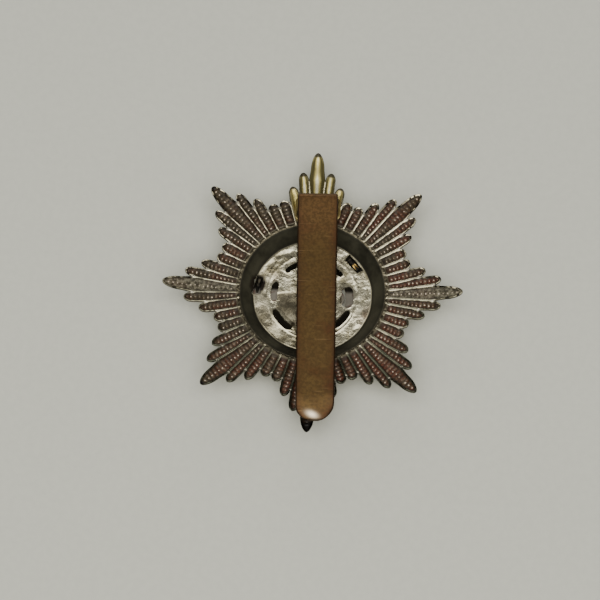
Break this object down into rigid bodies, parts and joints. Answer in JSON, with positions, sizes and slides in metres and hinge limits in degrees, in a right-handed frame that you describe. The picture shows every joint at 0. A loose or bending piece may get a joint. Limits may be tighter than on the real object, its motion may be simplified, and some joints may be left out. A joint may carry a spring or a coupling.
{
  "type": "cap badge",
  "caption": "Eight-pointed star cap badge in two metals, dished and pierced, lying on its front with a vertical slider brazed across its reverse.",
  "frame": {"origin": "on the badge's axis, at the flat front face of the circlet, on which the badge lies", "axes": "+Z out of the reverse, where the slider is; +Y along the top ray; +X across the badge"},
  "size_m": [0.046, 0.046, 0.0064],
  "materials": {
    "white_metal": "struck nickel silver, tarnished red-brown in the troughs",
    "gilding_metal": "gilding metal, worn and lightly tarnished",
    "tang_brass": "dull brass",
    "slider_brass": "brown tarnished gilding metal with fine cross scratches",
    "spelter": "pale yellow brazing spelter"
  },
  "bodies": {
    "root": {"star_plate": "white_metal", "circlet": "gilding_metal", "circlet_tangs": "tang_brass", "centre_rosette": "gilding_metal", "rosette_posts": "tang_brass", "slider": "slider_brass", "slider_braze": "spelter", "spelter_flood": "spelter"}
  },
  "joints": []
}
